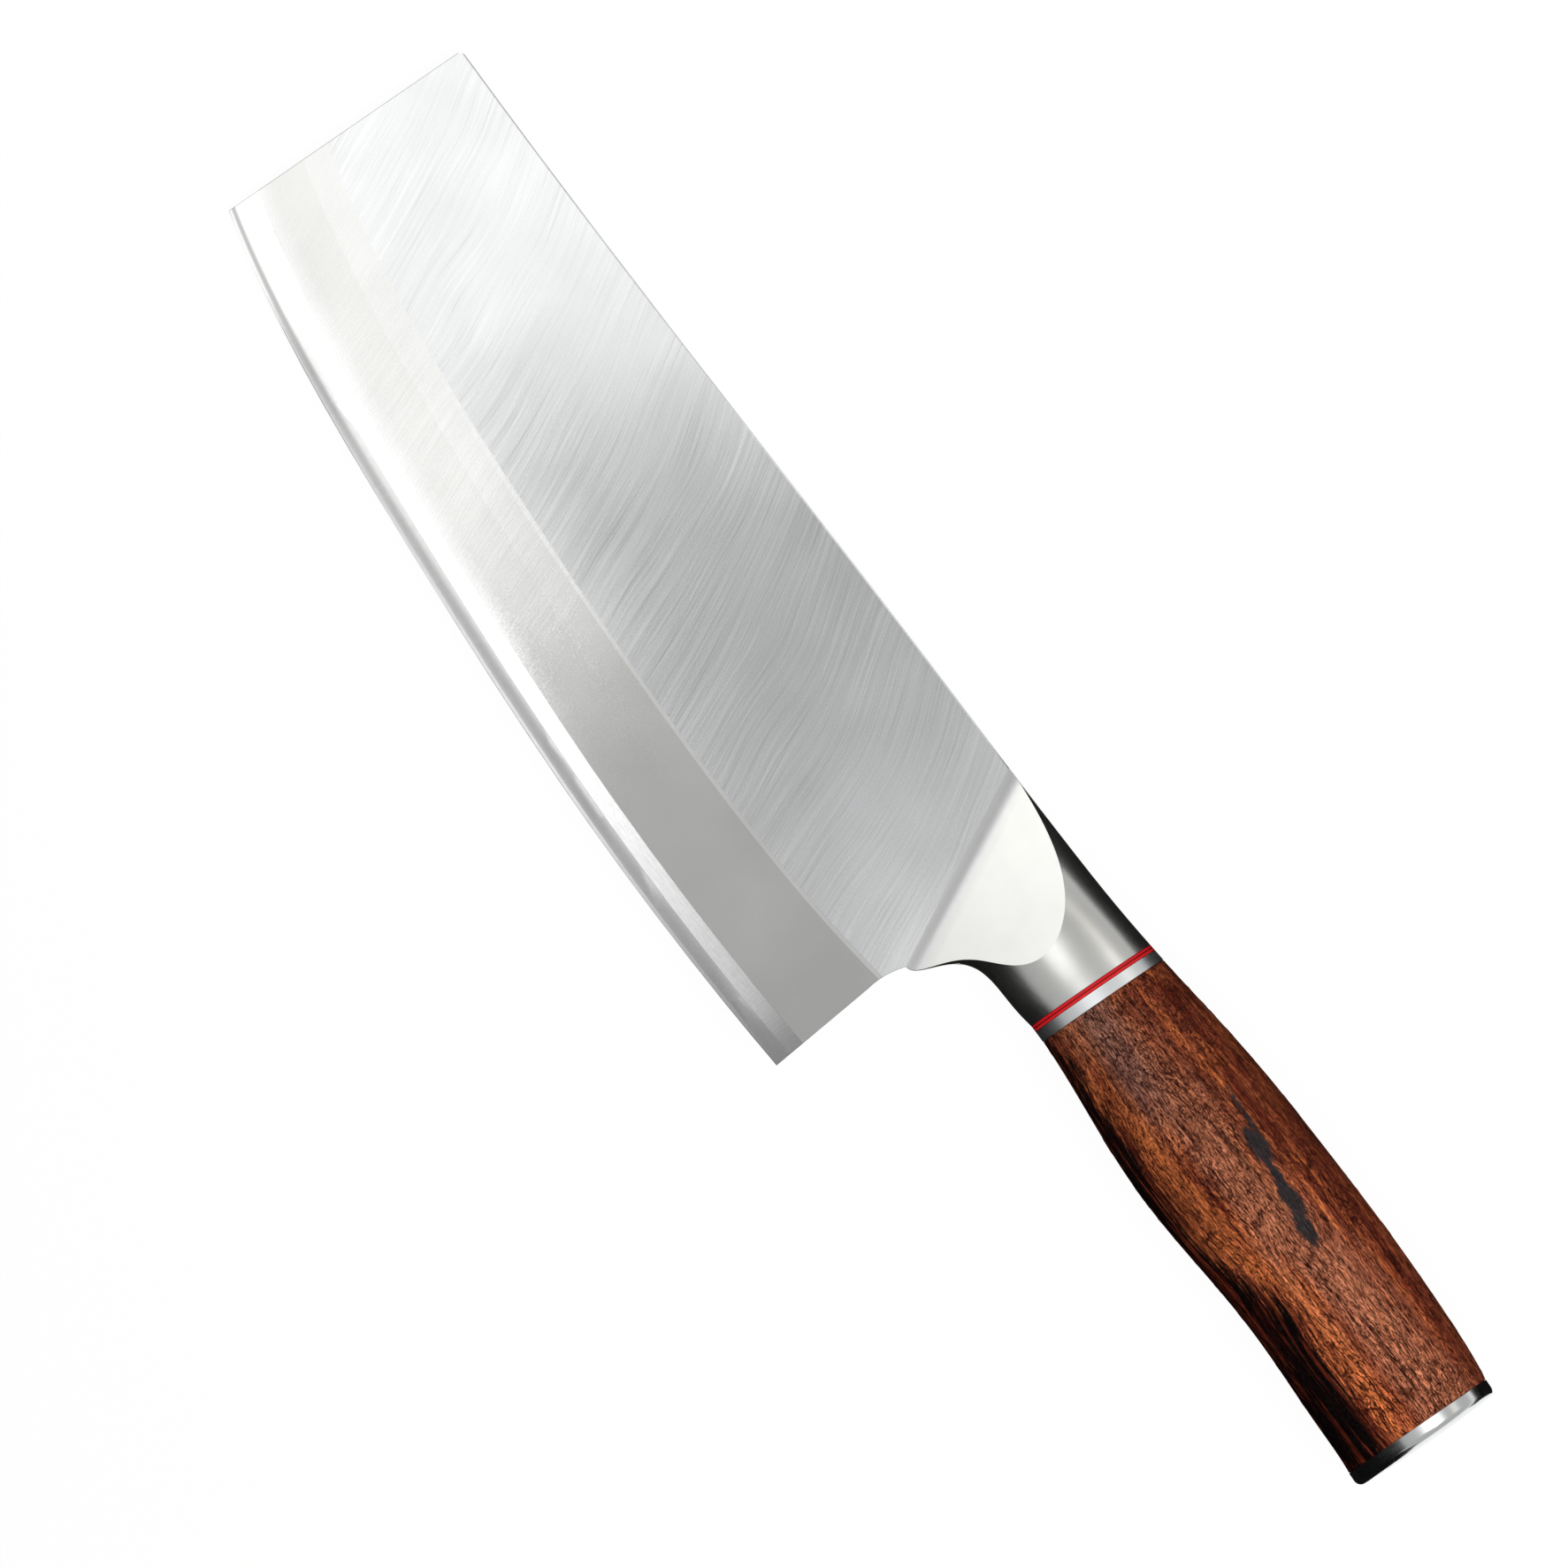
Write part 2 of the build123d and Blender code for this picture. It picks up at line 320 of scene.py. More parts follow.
def coreFinish():
    finish = Finish("polishedCore", metallic=1.0)
    x, y, z = finish.place()
    overEdge = y - polynomial(x / blade["fitReach"], edgeLine)
    haze = finish.noise(finish.vector(x * 0.4, overEdge * 4, z), 1, 3)
    ticks = finish.noise(finish.vector(x * 5, overEdge * 0.5, z), 1, 2)
    tone = finish.mix(haze, grey(0.95), grey(0.84))
    # painted shade: a dark band on the rounding above the edge, strongest near the tip
    rollStart, rollGrowth = blade["rollPlace"]
    rollMiddle = x.math("MINIMUM", x, 105) * rollGrowth + rollStart
    rollShade = finish.step(abs(overEdge / rollMiddle - 1), 0.85, 0.1)
    strength = 0.4 + finish.step(x, 60, 15) * 0.35 - finish.step(x, 120, 170) * 0.2
    tone = finish.mix(rollShade * strength, tone, grey(0.3))
    # painted shade: the core darker towards the heel
    tone = finish.mix(finish.step(x, 118, 185), tone, grey(0.47))
    # painted shade: a dark line along the cutting edge and the tip
    rim = finish.step(overEdge, 0.13, 0.05)
    rim = rim.math("MAXIMUM", rim, finish.step(x, blade["rim"], 0.04))
    tone = finish.mix(rim * 0.75, tone, grey(0.12))
    finish.set(baseColor=tone, roughness=0.09 + haze * 0.06 + ticks * 0.04)
    finish.set(normal=finish.relief(ticks, 0.004))
    return finish


wear("cladding_left", claddingFinish())
wear("cladding_right", claddingFinish())
wear("core_steel", coreFinish())
print("blade finished")


# Bolster, steel ring and end cap

metal = {
    "bolster": (0.84, 0.84, 0.815),
    "ring": (0.97, 0.99, 1.0),
    "cap": (0.86, 0.87, 0.87),
    "rod": (0.5, 0.5, 0.51),
}


def groundFinish(name, tint, rough, linesAlong, linesAcross):
    finish = Finish(name, metallic=1.0)
    x, y, z = finish.place()
    lines = finish.noise(finish.vector(x * linesAlong, y * linesAcross, z * linesAcross), 1, 3)
    cloud = finish.noise(finish.vector(x, y, z), 0.15, 3)
    tone = finish.mix(cloud, grey(1.04, tint), grey(0.94, tint))
    finish.set(baseColor=tone, roughness=rough - 0.04 + lines * 0.08)
    finish.set(normal=finish.relief(lines, 0.0012))
    return finish


wear("spacer_steel", groundFinish("brightRing", metal["ring"], 0.36, 3.0, 0.3))
wear("end_cap", groundFinish("mirrorCap", metal["cap"], 0.2, 3.0, 0.3))
for rodPiece in ("tang", "tang_washer", "tang_nut"):
    wear(rodPiece, groundFinish("turnedRod", metal["rod"], 0.35, 4.0, 0.2))
print("ring, cap and rod finished")


# Bolster: a band of painted shade and a painted highlight on the lip where its ground faces reach the blade

bolster = {
    "frontLine": (176.5, 0.537), # mm, the bolster's front edge on the blade at y = 50, and its lean
    # colour of the painted shade band
    "band": (0.56, 0.57, 0.585),
}


def bolsterFinish():
    finish = groundFinish("groundBolster", metal["bolster"], 0.3, 0.3, 2.5)
    x, y, z = finish.place()
    start, lean = bolster["frontLine"]
    behindFront = x - start + (y - 50) * lean
    tone = finish.given("baseColor")
    # painted shade: greyer within a few mm of the bolster's front edge
    band = finish.step(behindFront, 6.5, 3.2)
    tone = finish.mix(band * 0.5, tone, grey(1, bolster["band"]))
    # painted highlight: a white line along the front edge, low on the bolster
    lipHighlight = finish.step(behindFront, 0.75, 0.35) * finish.step(y, 47, 38)
    finish.set(baseColor=finish.mix(lipHighlight, tone, grey(1)))
    return finish


wear("bolster", bolsterFinish())
print("bolster finished")


# Red liners

liner = {
    "front": (0.66, 0.006, 0.012),
    "rear": (0.74, 0.010, 0.014),
}


def jointLine(finish, x, nodeName, width):  # 1 in the last bit of a ring before its neighbours
    reach = knifePoints(nodeName)[:, 0]
    middle, half = float(reach.max() + reach.min()) / 2, float(reach.max() - reach.min()) / 2
    return finish.step(abs(x - middle), half - width, half - width * 0.2)


def linerFinish(name, nodeName, red):
    finish = Finish(name, metallic=0.0, specularIORLevel=0.3)
    x, y, z = finish.place()
    fibre = finish.noise(finish.vector(x * 2, y, z), 1.6, 4, 0.6)
    tone = finish.mix(fibre, grey(0.8, red), grey(1.15, red))
    # dark line at each joint: a glue line with painted shade in the seam
    tone = finish.mix(jointLine(finish, x, nodeName, 0.28) * 0.85, tone, grey(0.12, red))
    finish.set(baseColor=tone, roughness=0.3 + fibre * 0.15)
    return finish


wear("spacer_red_front", linerFinish("frontLiner", "spacer_red_front", liner["front"]))
wear("spacer_red_rear", linerFinish("rearLiner", "spacer_red_rear", liner["rear"]))
print("liners finished")


# Grip: ovals measured on the frame, then open grain pressed into the skin

grip = {
    "stations": 34,              # ovals measured along the grip
    "fitOrder": 9,
    "skinInset": 0.05,           # mm, keeps the skin inside the measured solid
    "rows": 260,
    "columns": 352,
    "rimRadius": 0.3,            # mm, worn edge of the wood at ring and cap
    "furrowDepth": 0.07,         # mm
    "furrowLength": 7.0,
    "furrowWidth": 0.55,
    "furrowLevel": 0.6,          # share of the noise above which the grain is open
    "fade": 2.5,                 # mm at both ends without furrows
}


def bareMesh(nodeName):
    source = frame["nodes"][nodeName].data
    points = [toKnife @ vertex.co / mm for vertex in source.vertices]
    return BVHTree.FromPolygons(points, [tuple(face.vertices) for face in source.polygons])


def measureOvals():
    surface = bareMesh("grip")
    reach = knifePoints("grip")
    start, end = reach[:, 0].min(), reach[:, 0].max()
    far = 100
    rows = []
    for x in np.linspace(start + 0.02, end - 0.02, grip["stations"]):
        top = surface.ray_cast(Vector((x, reach[:, 1].max() + far, 0)), Vector((0, -1, 0)))[0].y
        bottom = surface.ray_cast(Vector((x, reach[:, 1].min() - far, 0)), Vector((0, 1, 0)))[0].y
        middle = (top + bottom) / 2
        side = surface.ray_cast(Vector((x, middle, far)), Vector((0, 0, -1)))[0].z
        rows.append((x, middle, (top - bottom) / 2, side))
    rows = np.array(rows)
    run = (rows[:, 0] - start) / (end - start)
    fits = [np.polyfit(run, rows[:, column], grip["fitOrder"]) for column in (1, 2, 3)]
    worst = max(abs(np.polyval(fit, run) - rows[:, column + 1]).max() for column, fit in enumerate(fits))
    print("ovals measured, fitted within", round(float(worst), 3), "mm")
    return start, end, fits


def gripRings():
    start, end, fits = measureOvals()
    rod = knifePoints("tang")
    nut = knifePoints("tang_washer")
    rodHeight = (rod[:, 1].min() + rod[:, 1].max()) / 2
    boreRadius = (rod[:, 1].max() - rod[:, 1].min()) / 2 + 0.15
    pocketRadius = (nut[:, 1].max() - nut[:, 1].min()) / 2 + 0.4
    pocketFloor = nut[:, 0].min()
    turns = np.linspace(0, 2 * pi, grip["columns"], endpoint=False)

    def circle(x, radius):
        return [(x, rodHeight + radius * cos(turn), radius * sin(turn)) for turn in turns]

    def oval(x, inset=0):
        run = (x - start) / (end - start)
        middle, high, wide = (float(np.polyval(fit, run)) for fit in fits)
        inset = inset + grip["skinInset"]
        return [(x, middle + (high - inset) * cos(turn), (wide - inset) * sin(turn)) for turn in turns]

    rim = grip["rimRadius"]
    rings = [circle(start, boreRadius), oval(start, rim)]
    rings += [oval(start + rim * 0.3, rim * 0.3)]
    rings += [oval(x) for x in np.linspace(start + rim, end - rim, grip["rows"])]
    rings += [oval(end - rim * 0.3, rim * 0.3), oval(end, rim)]
    rings += [circle(end, pocketRadius), circle(pocketFloor, pocketRadius), circle(pocketFloor, boreRadius)]
    return rings


def gripSkin():
    rings = gripRings()
    columns = grip["columns"]
    points = [point for ring in rings for point in ring]
    faces = []
    for row in range(len(rings)):
        following = (row + 1) % len(rings)
        for column in range(columns):
            beside = (column + 1) % columns
            faces.append((
                row * columns + column,
                following * columns + column,
                following * columns + beside,
                row * columns + beside,
            ))
    mesh = bpy.data.meshes.new("gripWood")
    mesh.from_pydata([knife @ (Vector(point) * mm) for point in points], [], faces)
    place = mesh.attributes.new("grainPlace", "FLOAT_VECTOR", "POINT")
    place.data.foreach_set("vector", np.array(points, np.float32).ravel())
    mesh.validate()
    skin = bpy.data.objects.new("gripWood", mesh)
    bpy.context.collection.objects.link(skin)
    return skin


def openGrainTree(material):
    tree = bpy.data.node_groups.new("openGrain", "GeometryNodeTree")
    tree.interface.new_socket("Geometry", in_out="INPUT", socket_type="NodeSocketGeometry")
    for name in ("Depth", "Length", "Width", "Level", "Start", "End", "Fade"):
        tree.interface.new_socket(name, in_out="INPUT", socket_type="NodeSocketFloat")
    tree.interface.new_socket("Geometry", in_out="OUTPUT", socket_type="NodeSocketGeometry")
    bench = Bench(tree)
    entry = tree.nodes.new("NodeGroupInput")
    given = {socket.name: Wire(bench, socket) for socket in entry.outputs if socket.name}
    place = bench.node(
        "GeometryNodeInputNamedAttribute", {"data_type": "FLOAT_VECTOR"}, {"Name": "grainPlace"}
    )
    apart = tree.nodes.new("ShaderNodeSeparateXYZ")
    bench.feed(apart.inputs[0], place)
    x, y, z = (Wire(bench, socket) for socket in apart.outputs)
    stretched = bench.vector(x / given["Length"], y / given["Width"], z / given["Width"])
    ridges = bench.noise(stretched, 1, 3, 0.55)
    openGrain = bench.step(ridges, given["Level"], given["Level"] + 0.07)
    ends = bench.step(x, given["Start"], given["Start"] + given["Fade"])
    ends = ends * bench.step(x, given["End"], given["End"] - given["Fade"])
    furrow = openGrain * ends
    marked = bench.node(
        "GeometryNodeStoreNamedAttribute",
        {"data_type": "FLOAT", "domain": "POINT"},
        {"Geometry": given["Geometry"], "Name": "furrow", "Value": furrow},
    )
    inward = bench.node(
        "ShaderNodeVectorMath",
        {"operation": "SCALE"},
        {"Vector": bench.node("GeometryNodeInputNormal"), "Scale": furrow * given["Depth"] * -mm},
    )
    pressed = bench.node("GeometryNodeSetPosition", {}, {"Geometry": marked, "Offset": inward})
    realized = bench.node("GeometryNodeRealizeInstances", {}, {"Geometry": pressed})
    finished = bench.node("GeometryNodeSetMaterial", {}, {"Geometry": realized, "Material": material})
    leave = tree.nodes.new("NodeGroupOutput")
    bench.feed(leave.inputs[0], finished)
    return tree


def applyTree(piece, tree, values):
    modifier = piece.modifiers.new(tree.name, "NODES")
    modifier.node_group = tree
    for item in tree.interface.items_tree:
        if item.in_out == "INPUT" and item.name in values:
            modifier[item.identifier] = values[item.name]
    bpy.context.view_layer.update()
    seen = piece.evaluated_get(bpy.context.evaluated_depsgraph_get())
    plain = bpy.data.meshes.new_from_object(seen, depsgraph=bpy.context.evaluated_depsgraph_get())
    piece.modifiers.remove(modifier)
    piece.data = plain
    return piece


def smoothByAngle(mesh, degrees):
    mesh.shade_smooth()
    mesh.set_sharp_from_angle(angle=radians(degrees))


# Wood: figure, fibres, pores, cracks and veins along the grain, in the grip's own knife coordinates

wood = {
    "brown": (0.36, 0.083, 0.034),
    "orange": (0.62, 0.165, 0.045),
    "maroon": (0.135, 0.018, 0.007),
    "rose": (0.44, 0.145, 0.075),
    "pale": (0.90, 0.43, 0.24),
    "dark": (0.016, 0.0012, 0.0004),
    "mauve": (0.17, 0.095, 0.088),
    # black of the heartwood, partly painted shade
    "heart": (0.0022, 0.0004, 0.0003),
    "heartRed": (0.16, 0.022, 0.007),
    "mark": (0.012, 0.011, 0.0125),
    "markPale": (0.055, 0.052, 0.058),
    "grainDrift": 0.05,          # rise of the grain towards the butt
    "crown": (49, 0.147, 225),   # mm, painted sheen along the crown: height at the ring, rise, and where it starts
    "heartLine": (40, 48),       # mm, height of the black heartwood with painted shade on the lower side, near the ring and at the butt
    "heartRise": (262, 290),     # mm, where it rises
}
# Blots of the dark mark: middle and half sizes in mm
markBlots = (
    ((249.5, 61.6), (5.0, 0.3)),
    ((256.6, 60.3), (3.8, 1.5)),
    ((262.4, 59.9), (4.2, 0.75)),
    ((268.4, 59.5), (4.8, 1.4)),
    ((274.0, 58.8), (4.2, 1.25)),
)


def woodFinish():
    finish = Finish("oiledWood", metallic=0.0, specularIORLevel=0.05)
    place = finish.node("ShaderNodeAttribute", {"attribute_name": "grainPlace"}, out="Vector")
    furrow = finish.node("ShaderNodeAttribute", {"attribute_name": "furrow"}, out="Fac")
    x, y, z = finish.split(place)
    sway = finish.noise(finish.vector(x * 0.025, y * 0.07, z * 0.07), 1, 2)
    ripple = finish.noise(finish.vector(x * 0.14, y * 0.35, z * 0.35), 1, 2)
    across = y - x * wood["grainDrift"] + sway * 6 + ripple * 0.5
    depth = z + sway * 5

    def grain(perAlong, perAcross, shift=0, detail=3, roughness=0.55):
        vector = finish.vector(x * perAlong + shift, across * perAcross, depth * perAcross)
        return finish.noise(vector, 1, detail, roughness)

    patch = grain(0.045, 0.16, 211, 2)
    figure = grain(0.03, 0.30, 11, 4, 0.6)
    bands = grain(0.012, 0.55, 37, 3, 0.6)
    fibres = finish.step(grain(0.45, 5.5, 5, 4, 0.75), 0.36, 0.64)
    crumbs = finish.step(grain(2.2, 6.0, 71, 4, 0.8), 0.38, 0.62)
    pores = finish.step(grain(0.5, 4.0, 23, 3, 0.65), 0.54, 0.585)
    dashes = finish.step(grain(0.95, 7.0, 53, 2, 0.6), 0.56, 0.61)
    specks = finish.step(grain(1.7, 3.8, 61, 3, 0.7), 0.56, 0.6) * finish.step(patch, 0.4, 0.58)
    lines = finish.step(abs(grain(0.03, 0.7, 97, 5, 0.65) - 0.5), 0.022, 0.006)
    lines = lines * finish.step(grain(0.1, 0.8, 151, 2), 0.42, 0.54)
    hairs = finish.step(abs(grain(0.05, 1.9, 113, 4, 0.65) - 0.5), 0.04, 0.008)
    hairs = hairs * finish.step(grain(0.06, 0.5, 261, 2), 0.4, 0.55)
    bent = grain(0.5, 1.0, 191, 2) * 1.6
    cells = finish.node(
        "ShaderNodeTexVoronoi",
        {"feature": "DISTANCE_TO_EDGE"},
        {"Vector": finish.vector(x * 0.27 + bent, across * 0.8 + bent, depth * 0.8), "Scale": 1.0},
    )
    cracks = finish.step(cells, 0.06, 0.015) * finish.step(grain(0.05, 0.16, 131, 2), 0.44, 0.56)

    colour = finish.mix(finish.step(figure, 0.36, 0.56), grey(1, wood["maroon"]), grey(1, wood["brown"]))
    colour = finish.mix(finish.step(bands, 0.47, 0.64) * 0.8, colour, grey(1, wood["orange"]))
    # painted sheen: the grip paler and rosier along its crown
    crownHeight, crownRise, crownStart = wood["crown"]
    overCrown = y - (x - crownStart) * crownRise - crownHeight + (figure - 0.5) * 14
    crownSheen = finish.step(abs(overCrown), 8.5, 2.5)
    colour = finish.mix(crownSheen * (0.25 + patch * 0.8), colour, grey(1, wood["rose"]))
    # black heartwood along the lower side, its darkness partly painted shade
    heartLow, heartHigh = wood["heartLine"]
    heartLine = finish.step(x, *wood["heartRise"]) * (heartHigh - heartLow) + heartLow
    streak = grain(0.022, 1.7, 171, 4, 0.7)
    overHeart = y + (streak - 0.5) * 13 - heartLine
    beside = finish.step(abs(overHeart - 3.5), 3.5, 0.5) * finish.step(x, 226, 238)
    colour = finish.mix(beside * 0.7, colour, grey(1, wood["orange"]))
    sheen = finish.step(x, 252, 230) * finish.step(abs(y - 48.5), 5, 1)
    colour = finish.mix(sheen * (0.4 + fibres * 0.5), colour, grey(1, wood["mauve"]))
    ruddy = finish.step(y - (x - crownStart) * 0.03 + (figure - 0.5) * 6, 61, 66)
    colour = finish.mix(ruddy * 0.55, colour, grey(1, wood["maroon"]))
    # bands vary the tone; the rise by x is painted light, the wood brighter towards the butt
    tone = (0.56 + bands * 0.95) * (1 + finish.step(x, 255, 296) * 0.34)
    # painted highlight: pale glints on the fibres, strongest along the crown sheen
    fibreGlints = finish.mix(fibres * crumbs * 0.3 * (0.2 + crownSheen), colour, grey(1, wood["pale"]))
    colour = finish.node(
        "ShaderNodeVectorMath",
        {"operation": "SCALE"},
        {"Vector": fibreGlints, "Scale": (0.28 + fibres * 0.74 + crumbs * 0.66) * tone},
    )
    for dark, share in ((hairs, 0.75), (pores, 0.9), (dashes, 0.85), (specks, 0.9), (lines, 0.95)):
        colour = finish.mix(dark * share, colour, grey(1, wood["dark"]))
    colour = finish.mix(cracks * 0.88, colour, grey(1, wood["dark"]))
    colour = finish.mix(furrow * 0.85, colour, grey(1, wood["dark"]))
    redStreaks = finish.step(grain(0.02, 1.1, 231, 4, 0.7), 0.5, 0.64) * (0.2 + fibres)
    # dark heartwood with painted shade: black with red streaks over the lower side
    heart = finish.mix(redStreaks, grey(1, wood["heart"]), grey(1, wood["heartRed"]))
    colour = finish.mix(finish.step(overHeart, 1.5, -1.5), colour, heart)
    mark = darkMark(finish, x, y, z)
    soot = finish.mix(fibres * crumbs, grey(1, wood["mark"]), grey(1, wood["markPale"]))
    colour = finish.mix(finish.step(mark + (crumbs - 0.5) * 0.9, 0.2, 0.75), colour, soot)
    rough = 0.36 + pores * 0.2 + dashes * 0.1 + furrow * 0.15
    height = 1 - pores * 0.5 - dashes * 0.4 - cracks * 0.5 - lines * 0.5 - hairs * 0.2 + fibres * 0.3
    finish.set(baseColor=colour, roughness=rough, normal=finish.relief(height, 0.07))
    return finish


def darkMark(finish, x, y, z):
    warp = finish.noise(finish.vector(x * 0.5, y * 0.9), 1, 5, 0.7)
    other = finish.noise(finish.vector(x * 0.45, y * 1.4, 9), 1, 5, 0.75)
    x = x + (warp - 0.5) * 4.5
    y = y + (other - 0.5) * 3.2
    total = None
    for (middleX, middleY), (halfLong, halfHigh) in markBlots:
        alongShare = (x - middleX) / halfLong
        acrossShare = (y - middleY) / halfHigh
        reach = alongShare * alongShare + acrossShare * acrossShare
        blot = finish.step(reach, 2.0, 0.4)
        total = blot if total is None else total.math("MAXIMUM", total, blot)
    return total * finish.step(z, 4, 7)


woodMaterial = woodFinish().material
gripWood = gripSkin()
ends = knifePoints("grip")[:, 0]
applyTree(gripWood, openGrainTree(woodMaterial), {
    "Depth": grip["furrowDepth"],
    "Length": grip["furrowLength"],
    "Width": grip["furrowWidth"],
    "Level": grip["furrowLevel"],
    "Start": float(ends.min()),
    "End": float(ends.max()),
    "Fade": grip["fade"],
})
smoothByAngle(gripWood.data, 40)
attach(gripWood, "root")
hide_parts("grip")
print("grip made,", len(gripWood.data.polygons), "faces")


# Studio: pale floor, soft panels low over the blade, dark cards beside the handle

studio = {
    "floorSize": 8.0,            # metres
    "ambient": 0.3,              # light from all around
    "metalAmbient": 0.45,        # what metal sees overhead
    "floorTone": 0.35,
    "whiteShare": 0.88,          # how much of the floor's white is its own
}


def sightRays(bench):  # 1 for what the camera sees, straight or in metal or glass
    path = bench.tree.nodes.new("ShaderNodeLightPath")
    camera, glossy, through = (
        Wire(bench, path.outputs[name])
        for name in ("Is Camera Ray", "Is Glossy Ray", "Is Transmission Ray")
    )
    return camera.math("MAXIMUM", camera, camera.math("MAXIMUM", glossy, through))


def emptyTree(tree):
    tree.nodes.clear()
    return Bench(tree)


def floorFinish():
    material = bpy.data.materials.new("paleFloor")
    material.use_nodes = True
    bench = emptyTree(material.node_tree)
    plain = bench.node("ShaderNodeBsdfDiffuse", {}, {"Color": grey(studio["floorTone"])})
    white = bench.node("ShaderNodeEmission", {}, {"Color": grey(1), "Strength": 1.09})
    share = sightRays(bench) * studio["whiteShare"]
    mixed = bench.node("ShaderNodeMixShader", {}, {0: share, 1: plain, 2: white})
    bench.node("ShaderNodeOutputMaterial", {}, {"Surface": mixed})
    return material


def cardFinish():
    material = bpy.data.materials.new("blackCard")
    material.use_nodes = True
    bench = emptyTree(material.node_tree)
    black = bench.node("ShaderNodeBsdfDiffuse", {}, {"Color": grey(0.004)})
    bench.node("ShaderNodeOutputMaterial", {}, {"Surface": black})
    return material


def sheetAt(name, points, material):
    mesh = bpy.data.meshes.new(name)
    mesh.from_pydata(points, [], [(0, 1, 2, 3)])
    mesh.materials.append(material)
    plane = bpy.data.objects.new(name, mesh)
    bpy.context.collection.objects.link(plane)
    return plane


def makeFloor():
    half = studio["floorSize"] / 2
    ring = [(-half, -half, 0), (half, -half, 0), (half, half, 0), (-half, half, 0)]
    sheetAt("floor", ring, floorFinish())


# Dark cards beside the handle, seen by metal alone: near and far foot in knife mm, heights there
cards = {
    "cardLeft": ((190, -28), (380, -28), 44, 122),
    "cardCap": ((306, 8), (349, 8), 120, 120),
    "cardRight": ((380, 120), (165, 120), 30, 21),
    "cardEnd": ((380, -28), (380, 40), 139, 68),
}
cardBeds = {                     # the cards that lie on the floor
    "bedLeft": ((185, -28), (380, -28), (380, 40), (190, 46)),
    "bedRight": ((196, 46), (318, 46), (318, 120), (120, 120)),
    "bedEnd": ((318, 65), (326, 76), (365, 120), (318, 120)),
}
cardLift = 0.2                   # mm above the floor


def onFloor(place, lift=cardLift):
    point = knife @ Vector((place[0] * mm, place[1] * mm, 0))
    return Vector((point.x, point.y, lift * mm))


def makeCards():
    material = cardFinish()
    planes = [
        sheetAt(name, [onFloor(corner) for corner in ring], material)
        for name, ring in cardBeds.items()
    ]
    for name, (near, far, nearHeight, farHeight) in cards.items():
        ring = [onFloor(near), onFloor(far), onFloor(far, farHeight), onFloor(near, nearHeight)]
        planes.append(sheetAt(name, ring, material))
    for plane in planes:
        plane.visible_camera = False
        plane.visible_diffuse = False
        plane.visible_shadow = False
        plane.visible_transmission = False


def makeWorld():
    world = bpy.data.worlds.new("studioAir")
    bpy.context.scene.world = world
    world.use_nodes = True
    bench = emptyTree(world.node_tree)
    direction = bench.node("ShaderNodeTexCoord", out="Generated")
    apart = bench.tree.nodes.new("ShaderNodeSeparateXYZ")
    bench.feed(apart.inputs[0], direction)
    horizon = bench.step(Wire(bench, apart.outputs[2]), 0.25, 0.05)
    path = bench.tree.nodes.new("ShaderNodeLightPath")
    camera = Wire(bench, path.outputs["Is Camera Ray"])
    white = camera.math("MAXIMUM", camera, sightRays(bench) * horizon)
    overhead = bench.mix(
        Wire(bench, path.outputs["Is Glossy Ray"]), grey(studio["ambient"]), grey(studio["metalAmbient"])
    )
    colour = bench.mix(white, overhead, grey(1))
    air = bench.node("ShaderNodeBackground", {}, {"Color": colour})
    bench.node("ShaderNodeOutputWorld", {}, {"Surface": air})


# Lamps: place and aim in knife mm, width and height in mm, turn in degrees, glow, colour
lamps = {
    "tipPanel": ((-66, 163, 172), (-66, 163, 0), (404, 350), 55.5, 0.82, (1, 1, 0.985)),
    "bevelPanel": ((61, -10.5, 172), (61, -10.5, 0), (88, 27), 0, 1.5, (1, 1, 0.99)),
    "edgeStrip": ((143, -18, 172), (143, -18, 0), (76, 12), 0, 1.1, (1, 1, 1)),
    "edgeGlint": ((85, -52, 172), (85, -52, 0), (200, 8), 0, 1.0, (1, 1, 1)),
    "heelPanel": ((168, 50, 172), (168, 50, 0), (50, 70), 0, 0.2, (1, 1, 1)),
    "facetBox": ((-150, -125, 325), (190, 45, 8), (230, 230), 0, 0.25, (1, 1, 0.985)),
    "handleStrip": ((277, 71, 172), (277, 71, 0), (205, 72), 42, 1.0, (1, 1, 0.99)),
    "creamStrip": ((205, 345, 245), (209, 58, 8), (300, 60), 0, 0.5, (1, 0.95, 0.82)),
    "woodKey": ((640, 70, 560), (265, 52, 0), (380, 380), 0, 8.2, (1, 0.98, 0.95)),
}


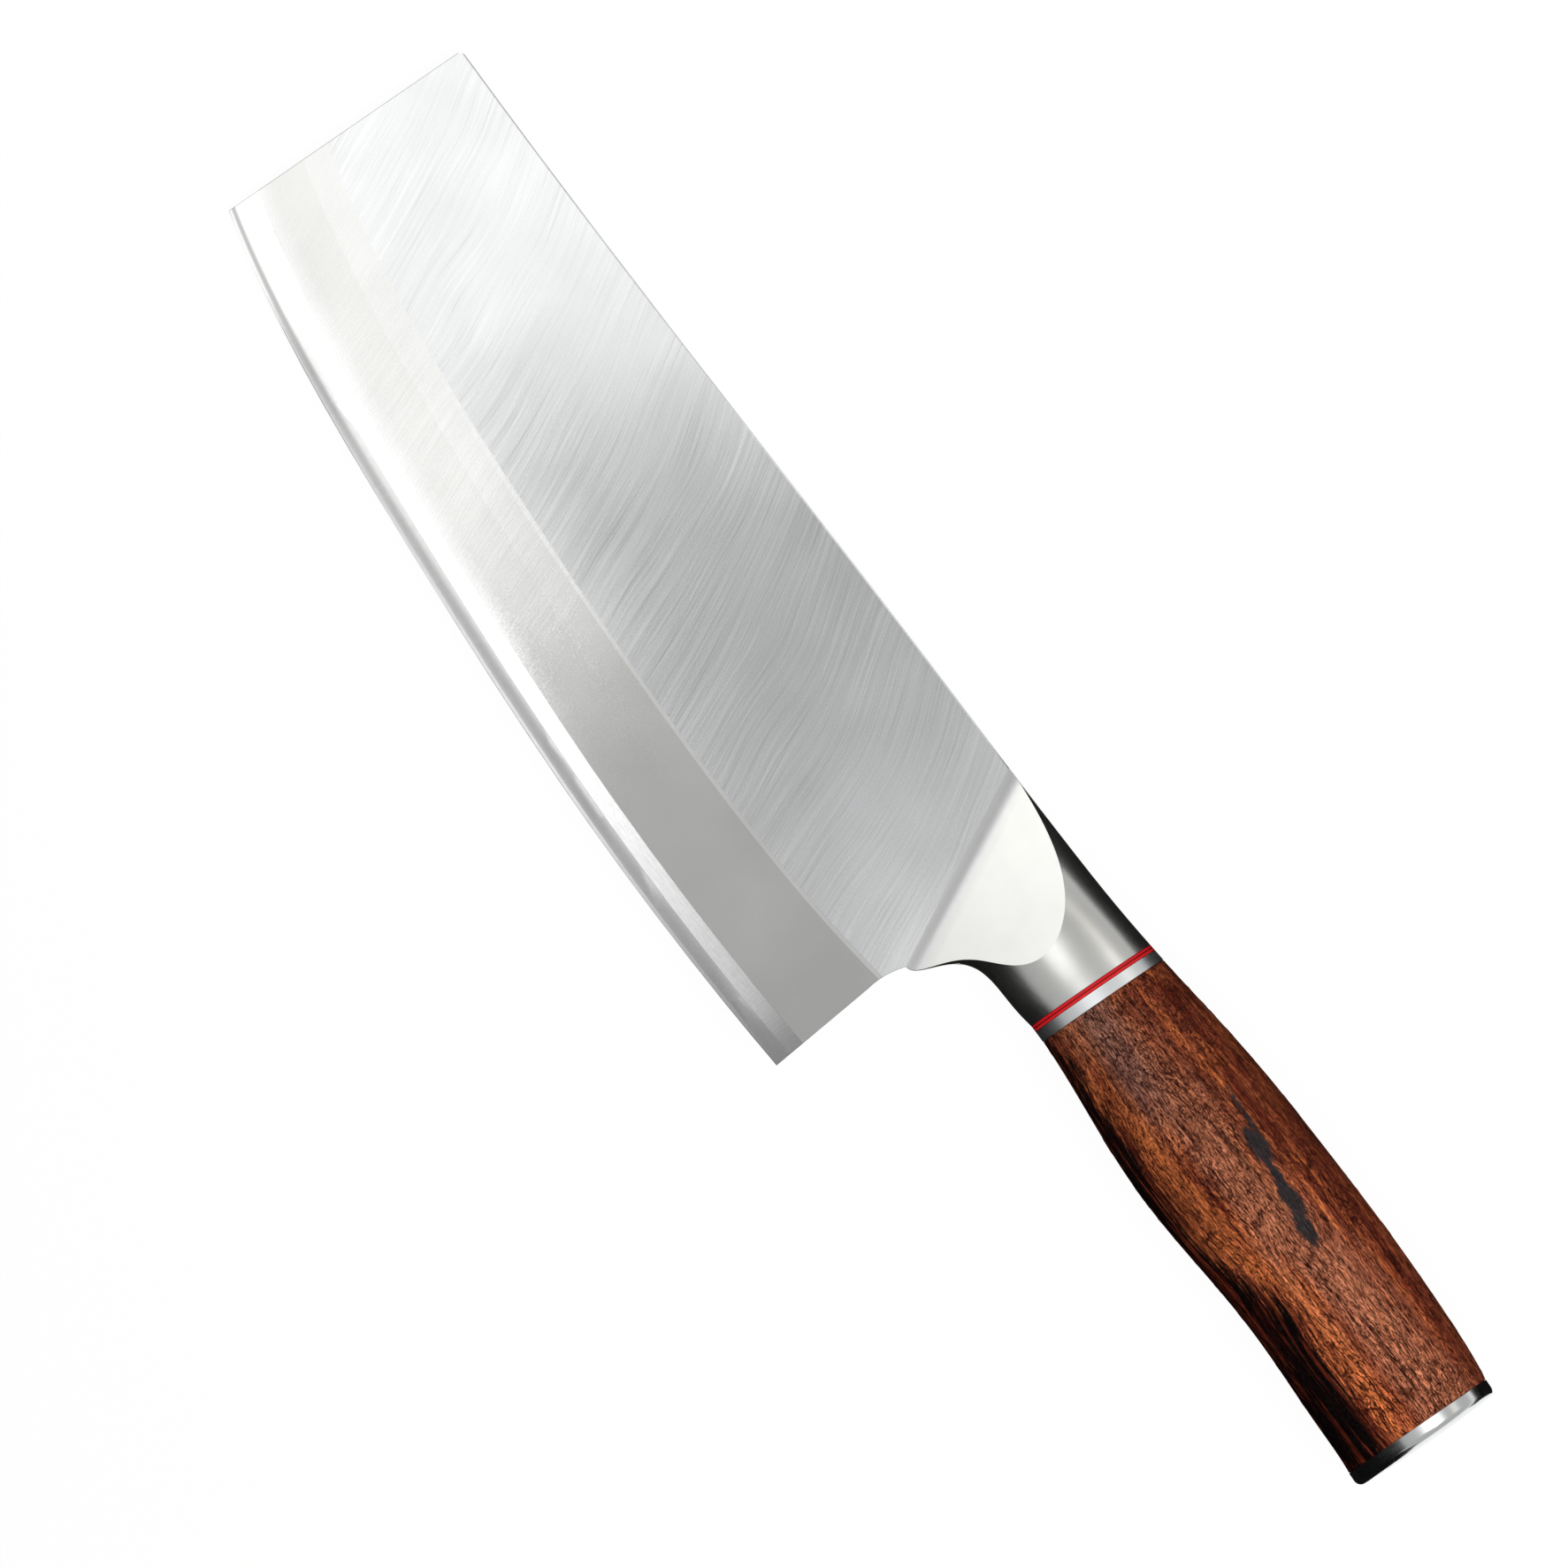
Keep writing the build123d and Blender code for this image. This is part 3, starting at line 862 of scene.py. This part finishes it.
def makeLamp(name, place, aim, size, turn, glow, colour):
    lamp = bpy.data.lights.new(name, "AREA")
    lamp.shape = "RECTANGLE"
    lamp.size = size[0] * mm
    lamp.size_y = size[1] * mm
    lamp.energy = glow * pi * lamp.size * lamp.size_y
    lamp.color = colour
    holder = bpy.data.objects.new(name, lamp)
    bpy.context.collection.objects.link(holder)
    back = (Vector(place) - Vector(aim)).normalized()
    right = Vector((1, 0, 0)) - back * back.x
    right = Matrix.Rotation(radians(turn), 3, back) @ right.normalized()
    up = back.cross(right)
    axes = Matrix((right, up, back)).transposed().to_4x4()
    holder.matrix_world = knife @ Matrix.Translation(Vector(place) * mm) @ axes
    holder.visible_camera = False
    holder.visible_glossy = name != "woodKey"


makeFloor()
makeCards()
makeWorld()
for lampName, lampFacts in lamps.items():
    makeLamp(lampName, *lampFacts)
print("studio lit")


# Camera, from the photograph

shot = {
    "imageSize": 1773,           # pixels
    "tipPixel": (258, 237),      # the blade's lower tip corner
    "turn": 55.5,                # degrees from the picture's right down to the knife's length
    "pixelsPerMm": 5.975,
    "lens": 600,
    "sensor": 36,
    "lean": 2.0,                 # degrees that the camera leans towards the butt
}


def makeCamera():
    turn = radians(shot["turn"])
    right = Vector((cos(turn), sin(turn), 0))
    up = Vector((-sin(turn), cos(turn), 0))
    half = shot["imageSize"] / 2
    offset = right * (half - shot["tipPixel"][0]) - up * (half - shot["tipPixel"][1])
    middle = offset / shot["pixelsPerMm"]
    width = shot["imageSize"] / shot["pixelsPerMm"] * mm
    data = bpy.data.cameras.new("view")
    data.lens = shot["lens"]
    data.sensor_width = shot["sensor"]
    camera = bpy.data.objects.new("view", data)
    bpy.context.collection.objects.link(camera)
    axes = Matrix((right, up, Vector((0, 0, 1)))).transposed().to_4x4()
    lean = Matrix.Rotation(radians(shot["lean"]), 4, "Y")
    away = Matrix.Translation((0, 0, width * shot["lens"] / shot["sensor"]))
    camera.matrix_world = knife @ Matrix.Translation(middle * mm) @ lean @ axes @ away
    bpy.context.scene.camera = camera
    bpy.context.scene.view_settings.view_transform = "Standard"


makeCamera()
